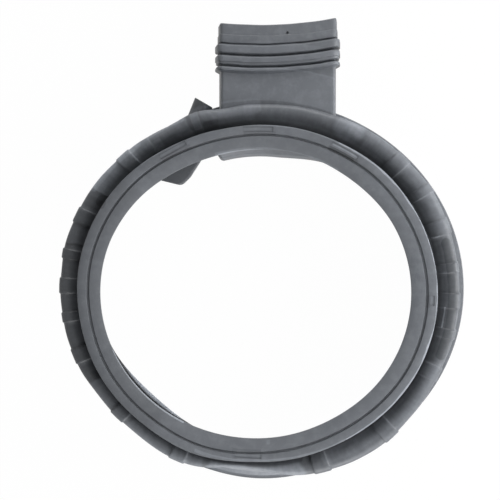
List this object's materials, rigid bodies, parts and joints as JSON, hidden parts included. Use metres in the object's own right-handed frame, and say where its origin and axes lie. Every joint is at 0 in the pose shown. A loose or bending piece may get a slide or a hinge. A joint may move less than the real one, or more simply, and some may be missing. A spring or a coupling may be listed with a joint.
{
  "type": "door seal",
  "caption": "Moulded grey rubber bellows ring for a front-loading washer-dryer door, with a hot air duct and a spray nozzle.",
  "frame": {"origin": "centre of the bounding box at its bottom, under the seal as it lies on its tub end", "axes": "+Z along the seal's axis from the tub end to the door end, +Y out along the air duct, which is the top when fitted"},
  "size_m": [0.4226, 0.4806, 0.1],
  "materials": {
    "grey_rubber": "matt moulded rubber, slightly satin on edges"
  },
  "bodies": {
    "root": {"door_seal": "grey_rubber"}
  },
  "joints": []
}
